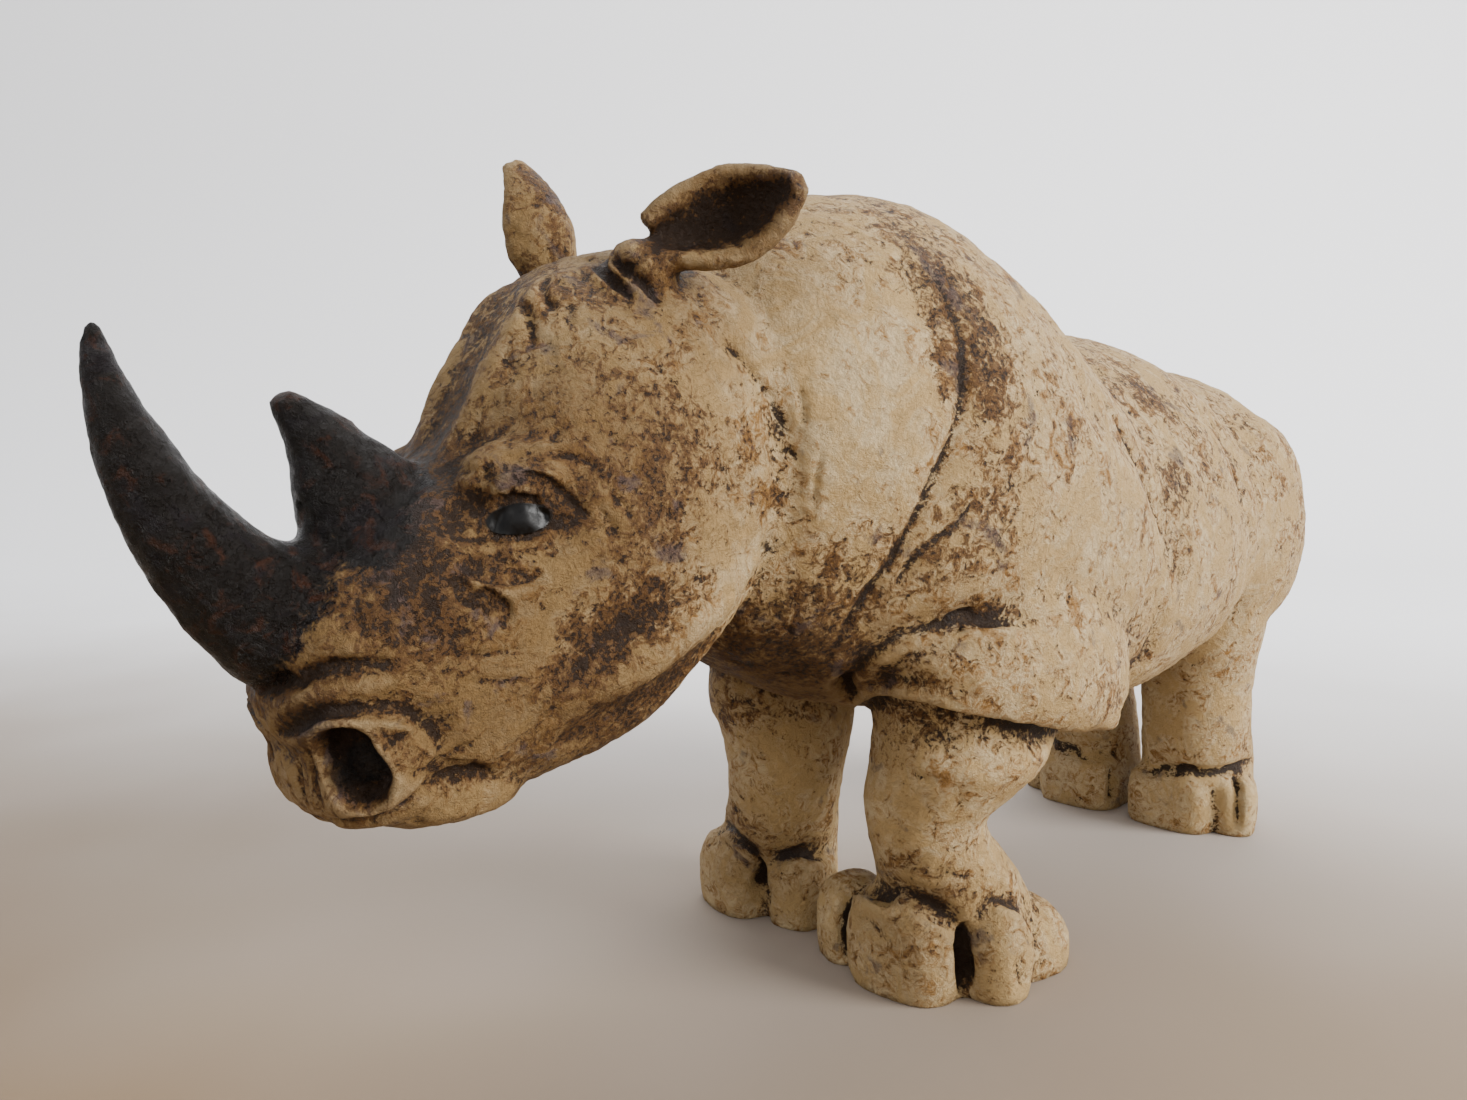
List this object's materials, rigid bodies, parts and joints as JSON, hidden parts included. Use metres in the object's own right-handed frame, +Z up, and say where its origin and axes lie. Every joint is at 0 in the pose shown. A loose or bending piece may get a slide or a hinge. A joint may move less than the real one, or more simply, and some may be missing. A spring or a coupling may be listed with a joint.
{
  "type": "rhinoceros figurine",
  "caption": "Hand-built stoneware rhinoceros figurine standing on its own feet, head low, with a long curved front horn and a short rear horn.",
  "frame": {"origin": "on the floor under the middle of the figure's bounding box", "axes": "+Z up, the animal looks along -Y, its left flank is at +X"},
  "size_m": [0.1236, 0.384, 0.199],
  "materials": {
    "stoneware": "unglazed buff stoneware with a dark brown oxide wash rubbed into its marks, matt to satin"
  },
  "bodies": {
    "root": {"rhinoceros": "stoneware"}
  },
  "joints": []
}
